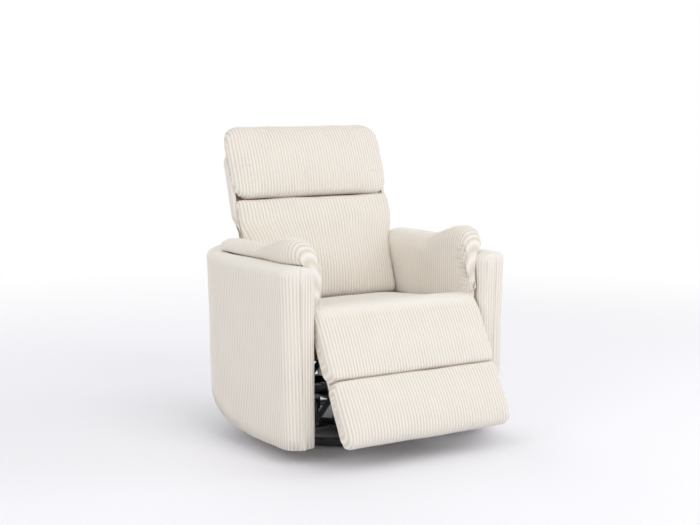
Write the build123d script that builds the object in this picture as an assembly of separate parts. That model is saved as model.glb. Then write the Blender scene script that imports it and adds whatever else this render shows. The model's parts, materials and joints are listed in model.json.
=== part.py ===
from build123d import *
import math
import os

# A reclining chair on a swivelling, rocking base. Millimetres, +Z up, the front towards -Y.
# The origin is on the floor, on the axis that the chair turns about.

# Barrel-shaped outer shell
shell_width = 880.0
shell_front_rim = 374.0
shell_front_foot = 363.0
shell_rear_centre = 46.0
shell_rim_height = 625.0
shell_foot_height = 50.0
shell_wall_front = 117.0
shell_wall_rear = 80.0
shell_taper = 15.0
shell_nose_radius = 55.0
shell_inner_nose_radius = 22.0
shell_rim_radius = 34.0
shell_skirt_start = 144.0
shell_skirt_end = 316.0
shell_skirt_rise = 149.0
shell_skirt_tail_rise = 12.0

# Seat
seat_side_clearance = 1.5
seat_front = 287.0
seat_rear = 50.0
seat_bottom = 364.2
seat_front_thickness = 103.8
seat_rear_thickness = 73.8
seat_crown = 14.0
seat_draw_in = 7.0
seat_corner_drop = 9.0
seat_side_spread_shares = (-1, -0.87, -0.45, 0, 0.45, 0.87, 1)
seat_crown_shares = (0, 0.6, 0.92, 1, 0.92, 0.6, 0)

# Seat box under the cushion
plate_inner = 258.0
plate_thickness = 4.0
rail_thickness = 22.0
rail_bottom = 300.0
rail_top_height = 360.0
front_rail_face = 280.0
front_rail_bottom = 255.0
rear_rail_face = 38.0
tube_passage_clearance = 4.0

# Zigzag springs of the seat
zigzag_count = 5
zigzag_spacing = 92.0
zigzag_wire = 3.6
zigzag_reach = 21.0
zigzag_bends = 12
zigzag_bend_radius = 11.0

# Footrest, swung open about its knuckle from hanging straight down
knuckle_y = -338.0
knuckle_z = 455.0
knuckle_radius = 30.0
footrest_open_angle = 28.0
footrest_half_width = 321.0
footrest_seam = 212.0
footrest_length = 424.0
footrest_crown = 9.0
footrest_draw_in = 8.0
footrest_seam_depth = 13.0
footrest_spread_shares = (-1, -0.93, -0.5, 0, 0.5, 0.93, 1)
footrest_crown_shares = (0, 0.75, 0.95, 1, 0.95, 0.75, 0)
board_half_width = 300.0
board_thickness = 15.0
board_start = 16.0
board_end = 398.0

# Footrest linkage: parallel bars run from the footrest to two cranked arms on each side
link_line_slope = 45.0
front_arm_distance = 165.0
rear_arm_distance = 260.0
link_pivot_depth = 65.0
upper_link_down = 105.0
lower_link_down = 235.0
link_end_radius = 10.0
link_thickness = 4.0
link_layer_gap = 4.0
pin_radius = 5.0
pin_head_radius = 8.0
pin_head_thickness = 2.5
torque_tube_radius = 8.0
bracket_start = 93.0
bracket_end = 250.0

# Back, leaning about its pivots on the seat plates
back_pivot_y = 100.0
back_pivot_z = 414.0
back_lean = 17.0
back_rear_face = 26.0
back_panel_thickness = 12.0
back_panel_height = 545.0
back_panel_start = 30.0
back_low_half_width = 283.0
back_high_half_width = 300.0
back_flare_start = 310.0
back_flare_end = 385.0
back_panel_corner = 30.0
back_post_depth = 24.0
back_post_width = 30.0
back_bottom_rail_height = 60.0
back_top_rail_height = 70.0
back_bracket_height = 130.0
back_bracket_half_width = 10.0
pivot_boss_radius = 20.0
lumbar_start = 24.0
headrest_seam = 389.0
headrest_top = 640.0
cushion_seam_ahead = 35.0
lumbar_crown = 34.0
headrest_crown = 40.0
headrest_top_crown = 11.0
back_cushion_draw_in = 10.0
back_spread_shares = (-1, -0.9, -0.5, 0, 0.5, 0.9, 1)
back_crown_shares = (0, 0.62, 0.93, 1, 0.93, 0.62, 0)

# Arm pads: a stem inside the shell and a cap that laps over its rim
arm_pad_stem_thickness = 32.0
arm_pad_waist_thickness = 37.0
arm_pad_bottom = 492.0
arm_pad_waist_height = 600.0
arm_pad_rim_inset = 40.0
arm_pad_ridge_overlap = 13.0
arm_pad_front_ridge_inset = 11.0
arm_pad_rear = 196.0
arm_pad_front = 364.0
arm_pad_front_overlap = 25.0
arm_pad_front_height = 634.0
arm_pad_rear_height = 645.0
arm_pad_rear_slope_height = 665.0
arm_pad_crease_height = 676.0
arm_pad_front_slope_height = 697.0
arm_pad_front_lobe_height = 710.0
arm_pad_shoulder_height = 689.0
arm_pad_place_shares = (0, 0.2, 0.42, 0.62, 0.8, 0.93, 1)
arm_pad_lift_share = 0.25

# Sliding rails and cross tubes that carry the seat and the shell
tube_side = 30.0
tube_wall = 2.0
front_tube_y = -40.0
rear_tube_y = 95.0
tube_bottom = 140.0
slide_rail_outer = 250.0
slide_rail_width = 24.0
slide_rail_height = 20.0
slide_rail_front = -135.0
slide_rail_rear = 130.0
glide_length = 46.0
glide_height = 26.0
front_glide_y = -20.0
rear_glide_y = 100.0
end_plate_thickness = 4.0
end_plate_height = 56.0
end_plate_length = 30.0

# Rocking unit
rock_axis_z = 92.0
axle_radius = 9.0
axle_overhang = 5.0
rocker_plate_half_width = 130.0
rocker_plate_front = -112.0
rocker_plate_rear = 115.0
rocker_plate_thickness = 6.0
lug_inner = 96.0
lug_thickness = 6.0
lug_radius = 18.0
lug_spacing = 2.0
spring_x = 60.0
spring_y = 80.0
spring_radius = 18.0
spring_wire_radius = 3.0
spring_turns = 5
cup_radius = 14.0
cup_height = 8.0
cup_flange_radius = 23.0
cup_flange_thickness = 2.0

# Swivel
swivel_plate_radius = 130.0
swivel_plate_thickness = 5.0
ball_count = 24
ball_radius = 5.0
ball_circle_radius = 92.0
race_width = 22.0
race_thickness = 3.0
king_pin_radius = 12.0
king_pin_head_radius = 22.0
king_pin_head_thickness = 6.0

# Base
ring_radius = 300.0
ring_width = 24.0
ring_height = 26.0
ring_corner = 6.0
pad_height = 4.0
pad_radius = 11.0
pad_count = 8
spider_width = 44.0
spider_height = 18.0
spider_top = 32.0
bolt_circle_radius = 118.0
bolt_head_radius = 7.0
bolt_head_thickness = 4.0
bolt_count = 4

# Clearances
running_clearance = 0.05
soft_clearance = 0.3
cut_overrun = 20.0

SIDES = {"left": 1, "right": -1}


def side_plane(x):
    """Upright plane at x, its first direction towards the rear and its second upwards."""
    return Plane(origin=(x, 0, 0), x_dir=(0, 1, 0), z_dir=(1, 0, 0))


def cross_plane(y):
    """Upright plane at y, its first direction along +X and its second upwards."""
    return Plane(origin=(0, y, 0), x_dir=(1, 0, 0), z_dir=(0, -1, 0))


def footrest_point(down, ahead, angle=footrest_open_angle):
    """Place in the side view of a point of the footrest, measured from its knuckle."""
    turn = math.radians(angle)
    y = knuckle_y - down * math.sin(turn) - ahead * math.cos(turn)
    z = knuckle_z - down * math.cos(turn) + ahead * math.sin(turn)
    return (y, z)


def back_point(up, ahead):
    """Place in the side view of a point of the back, measured from its pivot."""
    lean = math.radians(back_lean)
    y = back_pivot_y + up * math.sin(lean) - ahead * math.cos(lean)
    z = back_pivot_z + up * math.cos(lean) + ahead * math.sin(lean)
    return (y, z)


def link_line(distance):
    """Step in the side view along the line through the knuckle and the arms' pivots."""
    slope = math.radians(link_line_slope)
    return (distance * math.cos(slope), -distance * math.sin(slope))


def shifted(point, step):
    return (point[0] + step[0], point[1] + step[1])


def slab(outline, inner, thickness, side):
    """Flat plate on one side of the chair, its near face at inner from the middle plane."""
    return extrude(side_plane(side * inner) * outline, amount=side * thickness)


def rod(place, radius, start, end):
    """Round bar along X between two values of x, at a place in the side view."""
    return extrude(side_plane(start) * Pos(*place) * Circle(radius), amount=end - start)


def block(x_range, y_range, z_range):
    """Box between two corners."""
    size = [high - low for low, high in (x_range, y_range, z_range)]
    middle = [(low + high) / 2 for low, high in (x_range, y_range, z_range)]
    return Pos(*middle) * Box(*size)


def bulged(corners, sags):
    """Closed face through corners given counter-clockwise, each side bowed out by its sag."""
    sides = []
    for index, (start, sag) in enumerate(zip(corners, sags)):
        end = corners[(index + 1) % len(corners)]
        run = (end[0] - start[0], end[1] - start[1])
        length = math.hypot(*run)
        if sag == 0:
            sides.append(Line(start, end))
            continue
        middle = ((start[0] + end[0]) / 2, (start[1] + end[1]) / 2)
        out = (sag * run[1] / length, -sag * run[0] / length)
        sides.append(ThreePointArc(start, shifted(middle, out), end))
    return make_face(Curve() + sides)


def pivoted_bar(places, hole_radii, end_radius):
    """Outline of a flat link that runs through its pivots, with round ends and a hole at each."""
    outline = Sketch()
    for start, end in zip(places, places[1:]):
        middle = ((start[0] + end[0]) / 2, (start[1] + end[1]) / 2)
        angle = math.degrees(math.atan2(end[1] - start[1], end[0] - start[0]))
        length = math.dist(start, end)
        outline += Pos(*middle) * Rot(0, 0, angle) * SlotCenterToCenter(length, end_radius * 2)
    for place, radius in zip(places, hole_radii):
        outline -= Pos(*place) * Circle(radius)
    return outline


def hexagon_bolt(height):
    """Bolt along Z with its head's seat at height."""
    head = Pos(0, 0, height) * extrude(RegularPolygon(bolt_head_radius, 6), bolt_head_thickness)
    return head


# Places in the side view that several pieces share
knuckle = (knuckle_y, knuckle_z)
back_pivot = (back_pivot_y, back_pivot_z)
front_arm_pivot = shifted(knuckle, link_line(front_arm_distance))
rear_arm_pivot = shifted(knuckle, link_line(rear_arm_distance))
upper_link_front = footrest_point(upper_link_down, -link_pivot_depth)
lower_link_front = footrest_point(lower_link_down, -link_pivot_depth)
upper_link_middle = shifted(upper_link_front, link_line(front_arm_distance))
lower_link_rear = shifted(lower_link_front, link_line(front_arm_distance))
upper_link_rear = shifted(upper_link_front, link_line(rear_arm_distance))

# Layers of the linkage, counted outwards from the middle plane
arm_inner = plate_inner + plate_thickness + link_layer_gap
link_inner = arm_inner + link_thickness + link_layer_gap
bracket_inner = link_inner + link_thickness + link_layer_gap
pin_hole = pin_radius + running_clearance

# Heights of the base, the swivel and the rocking unit, from the floor up
ring_bottom = pad_height
lower_plate_bottom = spider_top
lower_plate_top = lower_plate_bottom + swivel_plate_thickness
lower_race_top = lower_plate_top + race_thickness
ball_height = lower_race_top + ball_radius + running_clearance
upper_race_bottom = ball_height + ball_radius + running_clearance
upper_plate_bottom = upper_race_bottom + race_thickness
upper_plate_top = upper_plate_bottom + swivel_plate_thickness
rocker_plate_bottom = tube_bottom - rocker_plate_thickness
tube_top = tube_bottom + tube_side
slide_rail_top_height = tube_top + slide_rail_height

# Shell outline in plan
shell_half = shell_width / 2
shell_inner_front = shell_half - shell_wall_front
shell_inner_radius = shell_half - shell_wall_rear

# Arm pads and seat follow the shell's inner face
arm_pad_inner = shell_inner_front - arm_pad_stem_thickness
arm_pad_waist = shell_inner_front - arm_pad_waist_thickness
arm_pad_cap_reach = shell_half - arm_pad_rim_inset
arm_pad_ridge = shell_inner_front + arm_pad_ridge_overlap
arm_pad_front_ridge = shell_inner_front - arm_pad_front_ridge_inset
arm_pad_front_reach = shell_inner_front + arm_pad_front_overlap
seat_half_width = arm_pad_inner - seat_side_clearance


def inner_tangent():
    """Point where the shell's straight inner side meets its round rear, on the +X side."""
    run = math.hypot(shell_inner_front, shell_front_rim + shell_rear_centre)
    spread = math.acos(shell_inner_radius / run)
    angle = spread - math.atan2(shell_front_rim + shell_rear_centre, shell_inner_front)
    return (
        shell_inner_radius * math.cos(angle),
        shell_rear_centre + shell_inner_radius * math.sin(angle),
    )


def inner_wall_x(y):
    """Distance of the shell's inner face from the middle plane at y."""
    tangent = inner_tangent()
    if y <= tangent[1]:
        share = (y + shell_front_rim) / (tangent[1] + shell_front_rim)
        return shell_inner_front + (tangent[0] - shell_inner_front) * share
    return math.sqrt(shell_inner_radius**2 - (y - shell_rear_centre) ** 2)


def shell_outline(outer_half, front):
    """U-shaped outline of the shell's wall in plan, with rounded front noses."""
    tangent = inner_tangent()
    outer_rear = shell_rear_centre + outer_half
    inner_rear = shell_rear_centre + shell_inner_radius
    edges = Polyline((-outer_half, shell_rear_centre), (-outer_half, -front), (-shell_inner_front, -front))
    edges += Line((-shell_inner_front, -front), (-tangent[0], tangent[1]))
    edges += ThreePointArc((-tangent[0], tangent[1]), (0, inner_rear), tangent)
    edges += Line(tangent, (shell_inner_front, -front))
    edges += Polyline((shell_inner_front, -front), (outer_half, -front), (outer_half, shell_rear_centre))
    rear_end = (-outer_half, shell_rear_centre)
    edges += ThreePointArc((outer_half, shell_rear_centre), (0, outer_rear), rear_end)
    face = make_face(edges)
    by_y = face.vertices().sort_by(Axis.Y)[:4].sort_by(Axis.X)
    face = fillet([by_y[0], by_y[3]], shell_nose_radius)
    inner = [v for v in face.vertices() if abs(abs(v.X) - shell_inner_front) < running_clearance]
    return fillet(inner, shell_inner_nose_radius)


def make_shell():
    """Padded outer shell, narrower at its foot, with a rolled rim and a skirt raised at the rear."""
    foot = Pos(0, 0, shell_foot_height) * shell_outline(shell_half - shell_taper, shell_front_foot)
    rim = Pos(0, 0, shell_rim_height) * shell_outline(shell_half, shell_front_rim)
    wall = loft([foot, rim], ruled=True)
    rim_edges = wall.faces().sort_by(Axis.Z)[-1].edges()
    wall = fillet(rim_edges, shell_rim_radius)
    low = shell_foot_height - cut_overrun
    start = (-shell_skirt_start, shell_foot_height)
    run = shell_skirt_end + shell_skirt_start
    arc_radius = (run**2 + shell_skirt_rise**2) / (2 * shell_skirt_rise)
    half_run = run / 2
    middle = (
        start[0] + half_run,
        shell_foot_height + arc_radius - math.sqrt(arc_radius**2 - half_run**2),
    )
    end = (shell_skirt_end, shell_foot_height + shell_skirt_rise)
    tail_y = shell_rear_centre + shell_half + cut_overrun
    tail = (tail_y, end[1] + shell_skirt_tail_rise)
    profile = ThreePointArc(start, middle, end)
    profile += Polyline(end, tail, (tail_y, low), (start[0], low), start)
    reach = shell_half + cut_overrun
    skirt_cut = extrude(side_plane(-reach) * make_face(profile), amount=2 * reach)
    return wall - skirt_cut


def make_seat_cushion():
    """Seat cushion with a crowned top and sides that draw in towards its ends."""
    sections = []
    for spread, crown in zip(seat_side_spread_shares, seat_crown_shares):
        inset = seat_draw_in * (1 - crown)
        drop = seat_corner_drop * (1 - crown)
        corners = [
            (-seat_front + inset, seat_bottom),
            (seat_rear - inset, seat_bottom),
            (seat_rear - inset, seat_bottom + seat_rear_thickness - drop),
            (-seat_front + inset, seat_bottom + seat_front_thickness - drop),
        ]
        sags = (0, 0, seat_crown * crown, 0)
        sections.append(side_plane(spread * seat_half_width) * bulged(corners, sags))
    return loft(sections)


def make_seat_rail(side):
    """Side rail of the seat box, with a passage for the torque tube."""
    rail = block(
        sorted((side * plate_inner, side * (plate_inner - rail_thickness))),
        (-front_rail_face + rail_thickness, rear_rail_face),
        (rail_bottom, rail_top_height),
    )
    passage = rod(
        front_arm_pivot,
        torque_tube_radius + tube_passage_clearance,
        side * (plate_inner - rail_thickness) - side * cut_overrun,
        side * (plate_inner + cut_overrun),
    )
    return rail - passage


def make_front_rail():
    return block(
        (-plate_inner, plate_inner),
        (-front_rail_face, -front_rail_face + rail_thickness),
        (front_rail_bottom, rail_top_height),
    )


def make_rear_rail():
    inner = plate_inner - rail_thickness
    return block((-inner, inner), (rear_rail_face - rail_thickness, rear_rail_face), (rail_bottom, rail_top_height))


def make_zigzag_springs():
    """Zigzag wire springs that lie on the front and the rear rail."""
    wire_radius = zigzag_wire / 2
    height = rail_top_height + soft_clearance + wire_radius
    front = -front_rail_face + rail_thickness / 2
    rear = rear_rail_face - rail_thickness / 2
    step = (rear - front) / zigzag_bends
    solids = []
    for index in range(zigzag_count):
        middle = (index - (zigzag_count - 1) / 2) * zigzag_spacing
        points = [(middle, front, height)]
        for bend in range(zigzag_bends):
            side = 1 if bend % 2 else -1
            points.append((middle + side * zigzag_reach, front + step * bend, height))
            points.append((middle + side * zigzag_reach, front + step * (bend + 1), height))
        points.append((middle, rear, height))
        path = FilletPolyline(*points, radius=zigzag_bend_radius)
        start = Plane(origin=path @ 0, z_dir=path % 0)
        solids.append(sweep(start * Circle(wire_radius), path=path).solid())
    return Compound(children=solids)


def make_mechanism_plate(side):
    """Steel side plate that carries the arms, the back pivot and the glides."""
    glide_middle = slide_rail_top_height + soft_clearance + glide_height / 2
    shoulder_z = rail_bottom + rail_thickness
    spots = [
        (front_arm_pivot, pivot_boss_radius),
        (rear_arm_pivot, pivot_boss_radius),
        ((front_glide_y, glide_middle), glide_height / 2),
        ((rear_glide_y, glide_middle), glide_height / 2),
        ((back_pivot_y, shoulder_z), pivot_boss_radius),
    ]
    edges = [(Pos(*place) * Circle(radius)).edge() for place, radius in spots]
    outline = make_hull(edges)
    height = back_pivot_z - shoulder_z
    upright = SlotCenterToCenter(height, pivot_boss_radius * 2)
    outline += Pos(back_pivot_y, shoulder_z + height / 2) * Rot(0, 0, 90) * upright
    outline -= Pos(*front_arm_pivot) * Circle(torque_tube_radius + running_clearance)
    outline -= Pos(*rear_arm_pivot) * Circle(pin_hole)
    outline -= Pos(*back_pivot) * Circle(pin_hole)
    return slab(outline, plate_inner, plate_thickness, side)


def make_pin(place, side, start, grip, head_inside):
    """Pivot pin along X: a shank through two plates, with a head at one end or at both."""
    end = start + grip + soft_clearance
    pin = rod(place, pin_radius, side * start, side * end)
    pin += rod(place, pin_head_radius, side * end, side * (end + pin_head_thickness))
    if head_inside:
        pin += rod(place, pin_head_radius, side * (start - pin_head_thickness), side * start)
    return pin


def pin_group(places, start, grip, head_inside):
    """The same pins on both sides of the chair, as separate solids."""
    pins = [
        make_pin(place, side, start, grip, head_inside).solid()
        for side in SIDES.values()
        for place in places
    ]
    return Compound(children=pins)


def two_layer_grip():
    return 2 * link_thickness + link_layer_gap


def make_front_arm(side):
    places = [front_arm_pivot, upper_link_middle, lower_link_rear]
    holes = [torque_tube_radius + running_clearance, pin_hole, pin_hole]
    return slab(pivoted_bar(places, holes, link_end_radius), arm_inner, link_thickness, side)


def make_rear_arm(side):
    outline = pivoted_bar([rear_arm_pivot, upper_link_rear], [pin_hole, pin_hole], link_end_radius)
    return slab(outline, arm_inner, link_thickness, side)


def make_upper_link(side):
    places = [upper_link_front, upper_link_middle, upper_link_rear]
    return slab(pivoted_bar(places, [pin_hole] * 3, link_end_radius), link_inner, link_thickness, side)


def make_lower_link(side):
    places = [lower_link_front, lower_link_rear]
    return slab(pivoted_bar(places, [pin_hole] * 2, link_end_radius), link_inner, link_thickness, side)


def make_torque_tube():
    end = arm_inner + link_thickness
    tube = rod(front_arm_pivot, torque_tube_radius, -end, end)
    return tube - rod(front_arm_pivot, torque_tube_radius - tube_wall, -end, end)


def make_footrest_brackets():
    """Two steel angles on the board's rear face that take the links' front pins."""
    brackets = []
    board_rear = -knuckle_radius - board_thickness
    web_rear = -link_pivot_depth - link_end_radius
    for side in SIDES.values():
        web = make_face(
            Polyline(
                footrest_point(bracket_start, board_rear),
                footrest_point(bracket_end, board_rear),
                footrest_point(lower_link_down + link_end_radius, web_rear),
                footrest_point(upper_link_down - link_end_radius, web_rear),
                close=True,
            )
        )
        for down in (upper_link_down, lower_link_down):
            web -= Pos(*footrest_point(down, -link_pivot_depth)) * Circle(pin_hole)
        flange = make_face(
            Polyline(
                footrest_point(bracket_start, board_rear),
                footrest_point(bracket_end, board_rear),
                footrest_point(bracket_end, board_rear - link_thickness),
                footrest_point(bracket_start, board_rear - link_thickness),
                close=True,
            )
        )
        bracket = slab(web, bracket_inner, link_thickness, side)
        outer = bracket_inner + link_thickness
        bracket += slab(flange, outer, board_half_width - outer, side)
        brackets.append(bracket.solid())
    return Compound(children=brackets)


def make_footrest_board():
    front, rear = -knuckle_radius, -knuckle_radius - board_thickness
    outline = make_face(
        Polyline(
            footrest_point(board_start, front),
            footrest_point(board_end, front),
            footrest_point(board_end, rear),
            footrest_point(board_start, rear),
            close=True,
        )
    )
    return extrude(side_plane(-board_half_width) * outline, amount=2 * board_half_width)


def make_upper_pad():
    """Upper footrest pad: its end turns round the knuckle, and its face is crowned."""
    sections = []
    rear = -knuckle_radius + soft_clearance
    for spread, crown in zip(footrest_spread_shares, footrest_crown_shares):
        drawn = footrest_draw_in * (1 - crown)
        front = knuckle_radius - drawn
        outline = ThreePointArc(
            footrest_point(0, front),
            footrest_point(-front, 0),
            footrest_point(0, rear),
        )
        outline += Line(footrest_point(0, rear), footrest_point(footrest_seam, rear))
        seam_front = front - footrest_seam_depth
        outline += Line(footrest_point(footrest_seam, rear), footrest_point(footrest_seam, seam_front))
        outline += ThreePointArc(
            footrest_point(footrest_seam, seam_front),
            footrest_point(footrest_seam / 2, front + footrest_crown * crown),
            footrest_point(0, front),
        )
        sections.append(side_plane(spread * footrest_half_width) * make_face(outline))
    return loft(sections)


def make_lower_pad():
    """Lower footrest pad, drawn in at the seam above it and rounded at its free end."""
    sections = []
    rear = -knuckle_radius + soft_clearance
    start = footrest_seam + soft_clearance
    for spread, crown in zip(footrest_spread_shares, footrest_crown_shares):
        drawn = footrest_draw_in * (1 - crown)
        front = knuckle_radius - drawn
        seam_front = front - footrest_seam_depth
        end = footrest_length - drawn
        corners = [
            footrest_point(start, rear),
            footrest_point(start, seam_front),
            footrest_point(end, seam_front),
            footrest_point(end, rear),
        ]
        sags = (0, footrest_seam_depth + footrest_crown * crown, footrest_crown, 0)
        sections.append(side_plane(spread * footrest_half_width) * bulged(corners, sags))
    return loft(sections)


def back_strip(up_range, ahead_range, x_range):
    """Straight board in the back's own slope."""
    corners = [
        back_point(up_range[0], ahead_range[0]),
        back_point(up_range[1], ahead_range[0]),
        back_point(up_range[1], ahead_range[1]),
        back_point(up_range[0], ahead_range[1]),
    ]
    outline = make_face(Polyline(*corners, close=True))
    return extrude(side_plane(x_range[0]) * outline, amount=x_range[1] - x_range[0])


back_post_outer = arm_inner
back_post_rear = -back_rear_face + back_panel_thickness
back_post_front = back_post_rear + back_post_depth
back_rail_end = back_post_outer - back_post_width


def make_back_post(side):
    x_range = sorted((side * back_rail_end, side * back_post_outer))
    up_range = (back_panel_start, back_panel_height - back_panel_corner)
    return back_strip(up_range, (back_post_rear, back_post_front), x_range)


def make_back_rail(start, height):
    x_range = (-back_rail_end, back_rail_end)
    return back_strip((start, start + height), (back_post_rear, back_post_front), x_range)


def make_back_panel():
    """Upholstered rear panel, wider above the arm pads, with rounded top corners."""
    low, high = back_low_half_width, back_high_half_width
    outline = make_face(
        Polyline(
            (-low, back_panel_start),
            (low, back_panel_start),
            (low, back_flare_start),
            (high, back_flare_end),
            (high, back_panel_height),
            (-high, back_panel_height),
            (-high, back_flare_end),
            (-low, back_flare_start),
            close=True,
        )
    )
    top = outline.vertices().sort_by(Axis.Y)[-2:]
    outline = fillet(top, back_panel_corner)
    y, z = back_point(0, -back_rear_face)
    lean = math.radians(back_lean)
    slope = Plane(origin=(0, y, z), x_dir=(1, 0, 0), z_dir=(0, -math.cos(lean), math.sin(lean)))
    return extrude(slope * outline, amount=back_panel_thickness)


def make_back_bracket(side):
    """Steel strap that bolts the back's post to its pivot."""
    middle = (back_post_rear + back_post_front) / 2
    places = [back_pivot, back_point(back_bracket_height, middle)]
    outline = pivoted_bar(places, [pin_hole], back_bracket_half_width)
    return slab(outline, back_post_outer, link_thickness, side)


def back_cushion(start, end, half_widths, crown_height, top_crown):
    """Back cushion between two heights along the slope, crowned ahead and drawn in at its sides."""
    sections = []
    rear = back_post_front + soft_clearance
    for spread, crown in zip(back_spread_shares, back_crown_shares):
        drawn = back_cushion_draw_in * (1 - crown)
        front = cushion_seam_ahead - drawn
        corners = [
            back_point(end - drawn, rear),
            back_point(end - drawn, front),
            back_point(start + drawn, front),
            back_point(start + drawn, rear),
        ]
        sags = (top_crown * crown, crown_height * crown + footrest_crown, 0, 0)
        sections.append(side_plane(spread * half_widths) * bulged(corners, sags))
    return loft(sections)


def make_arm_pad(side):
    """Arm pad with two lobes: its stem stands inside the shell, its cap rests on the rim."""
    heights = (
        arm_pad_rear_height,
        arm_pad_rear_slope_height,
        arm_pad_crease_height,
        arm_pad_front_slope_height,
        arm_pad_front_lobe_height,
        arm_pad_shoulder_height,
        arm_pad_front_height,
    )
    rest = shell_rim_height + soft_clearance
    stem_outer = shell_inner_front - soft_clearance
    sections = []
    for share, height in zip(arm_pad_place_shares, heights):
        y = arm_pad_rear - (arm_pad_rear + arm_pad_front) * share
        reach = arm_pad_cap_reach
        ridge = arm_pad_ridge
        wall = min(stem_outer, inner_wall_x(y) - soft_clearance)
        if y > shell_rear_centre:
            rim_radius = shell_half - arm_pad_rim_inset
            reach = math.sqrt(rim_radius**2 - (y - shell_rear_centre) ** 2)
        if share == 1:
            reach = arm_pad_front_reach
            ridge = arm_pad_front_ridge
        outline = Polyline(
            (side * arm_pad_waist, arm_pad_waist_height),
            (side * arm_pad_inner, arm_pad_bottom),
            (side * wall, arm_pad_bottom),
            (side * wall, rest),
            (side * reach, rest),
        )
        crown_out = ((reach + ridge) / 2, (rest + height) / 2)
        lift = (height - rest) * arm_pad_lift_share
        outline += ThreePointArc(
            (side * reach, rest),
            (side * (crown_out[0] + lift), crown_out[1] + lift),
            (side * ridge, height),
        )
        crown_in = ((arm_pad_waist + ridge) / 2, (arm_pad_waist_height + height) / 2)
        inner_lift = (ridge - arm_pad_waist) * arm_pad_lift_share
        outline += ThreePointArc(
            (side * ridge, height),
            (side * (crown_in[0] - inner_lift), crown_in[1] + inner_lift),
            (side * arm_pad_waist, arm_pad_waist_height),
        )
        sections.append(cross_plane(y) * make_face(outline))
    return loft(sections)


def make_cross_tube(y):
    """Square tube across the chair, from one shell bracket to the other."""
    half = tube_side / 2
    end = end_plate_face(y) - end_plate_thickness
    outer = Pos(y, tube_bottom + half) * Rectangle(tube_side, tube_side)
    inner = Pos(y, tube_bottom + half) * Rectangle(tube_side - 2 * tube_wall, tube_side - 2 * tube_wall)
    return extrude(side_plane(-end) * (outer - inner), amount=2 * end)


def end_plate_face(y):
    """Outer face of a shell bracket, just clear of the shell over the bracket's length."""
    half = end_plate_length / 2
    return min(inner_wall_x(y - half), inner_wall_x(y + half)) - soft_clearance


def make_shell_brackets():
    """Plates at the tubes' ends that bolt to the inside of the shell."""
    plates = []
    half = end_plate_length / 2
    for y in (front_tube_y, rear_tube_y):
        face = end_plate_face(y)
        for side in SIDES.values():
            x_range = sorted((side * (face - end_plate_thickness), side * face))
            z_range = (tube_bottom, tube_bottom + end_plate_height)
            plates.append(block(x_range, (y - half, y + half), z_range).solid())
    return Compound(children=plates)


def make_slide_rail(side):
    """Channel on the cross tubes that the seat's glides run along."""
    x_range = sorted((side * slide_rail_outer, side * (slide_rail_outer - slide_rail_width)))
    rail = block(x_range, (slide_rail_front, slide_rail_rear), (tube_top, slide_rail_top_height))
    hollow_x = (x_range[0] + tube_wall, x_range[1] - tube_wall)
    hollow = block(
        hollow_x,
        (slide_rail_front - cut_overrun, slide_rail_rear + cut_overrun),
        (tube_top - cut_overrun, slide_rail_top_height - tube_wall),
    )
    return rail - hollow


def make_glides():
    """Nylon blocks under the seat plates that slide along the rails."""
    glides = []
    bottom = slide_rail_top_height + soft_clearance
    inner = slide_rail_outer - slide_rail_width
    for side in SIDES.values():
        for y in (front_glide_y, rear_glide_y):
            x_range = sorted((side * inner, side * plate_inner))
            half = glide_length / 2
            glides.append(block(x_range, (y - half, y + half), (bottom, bottom + glide_height)).solid())
    return Compound(children=glides)


def make_rocker_plate():
    """Plate under the cross tubes with two lugs that hang round the rocking axle."""
    plate = block(
        (-rocker_plate_half_width, rocker_plate_half_width),
        (rocker_plate_front, rocker_plate_rear),
        (rocker_plate_bottom, tube_bottom),
    )
    outline = Pos(0, rock_axis_z) * Circle(lug_radius)
    height = rocker_plate_bottom - rock_axis_z
    outline += Pos(0, rock_axis_z + height / 2) * Rectangle(lug_radius * 2, height)
    outline -= Pos(0, rock_axis_z) * Circle(axle_radius + running_clearance)
    for side in SIDES.values():
        plate += slab(outline, lug_inner, lug_thickness, side)
    return plate


def make_axle():
    end = lug_inner + 2 * lug_thickness + lug_spacing + axle_overhang
    return rod((0, rock_axis_z), axle_radius, -end, end)


def spring_places():
    return [(x, y) for x in (-spring_x, spring_x) for y in (-spring_y, spring_y)]


def make_spring_cups(seat_height, direction):
    """Flanged cups that centre the rocker springs' ends."""
    cups = []
    for x, y in spring_places():
        flange = extrude(Circle(cup_flange_radius), cup_flange_thickness)
        boss = extrude(Circle(cup_radius), cup_height)
        cup = flange + boss
        if direction < 0:
            cup = Rot(180, 0, 0) * cup
        cups.append((Pos(x, y, seat_height) * cup).solid())
    return Compound(children=cups)


def helix_arcs(radius, bottom, top, turns):
    """Path of a coil as pairs of tangent arcs, two to each quarter turn."""
    quarters = 4 * turns
    rise = (top - bottom) / quarters
    slope = math.atan2(rise, radius * math.pi / 2)

    def place(step):
        angle = step * math.pi / 2
        return Vector(radius * math.cos(angle), radius * math.sin(angle), bottom + rise * step)

    def heading(step):
        angle = step * math.pi / 2
        flat = math.cos(slope)
        return Vector(-flat * math.sin(angle), flat * math.cos(angle), math.sin(slope))

    path = Curve()
    for step in range(quarters):
        start, end = place(step), place(step + 1)
        leaving, arriving = heading(step), heading(step + 1)
        chord = end - start
        both = leaving + arriving
        spread = 2 * (1 - leaving.dot(arriving))
        root = math.sqrt(chord.dot(both) ** 2 + spread * chord.dot(chord))
        reach = (root - chord.dot(both)) / spread
        first, second = start + leaving * reach, end - arriving * reach
        middle = (first + second) / 2
        path += TangentArc(start, middle, tangent=leaving)
        path += TangentArc(middle, end, tangent=second - first)
    return path


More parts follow.
